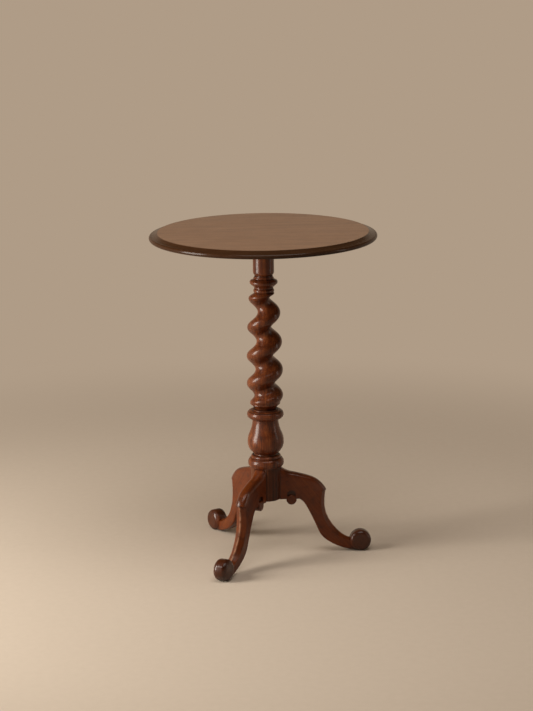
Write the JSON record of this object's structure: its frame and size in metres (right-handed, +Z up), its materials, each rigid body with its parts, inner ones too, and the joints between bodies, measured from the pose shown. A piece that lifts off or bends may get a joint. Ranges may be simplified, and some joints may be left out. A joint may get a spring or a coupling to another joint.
{
  "type": "lamp table",
  "caption": "Small round table: moulded circular top on a turned column with a barley twist, standing on scroll legs that are keeled down the front.",
  "frame": {"origin": "on the floor, on the axis of the column", "axes": "+Z up along the column, +X towards the foot of leg_right, +Y across the grain of the top"},
  "size_m": [0.4879, 0.488, 0.72],
  "materials": {
    "top_mahogany": "waxed satin",
    "column_mahogany": "french polished gloss",
    "leg_mahogany": "french polished gloss",
    "cleat_wood": "unpolished",
    "screw_steel": "dull, aged"
  },
  "bodies": {
    "root": {"top_board": "top_mahogany", "top_cleat": "cleat_wood", "column": "column_mahogany", "leg_right": "leg_mahogany", "leg_back": "leg_mahogany", "leg_front": "leg_mahogany", "tenon_wedge": "cleat_wood", "cleat_screws": "screw_steel"}
  },
  "joints": []
}
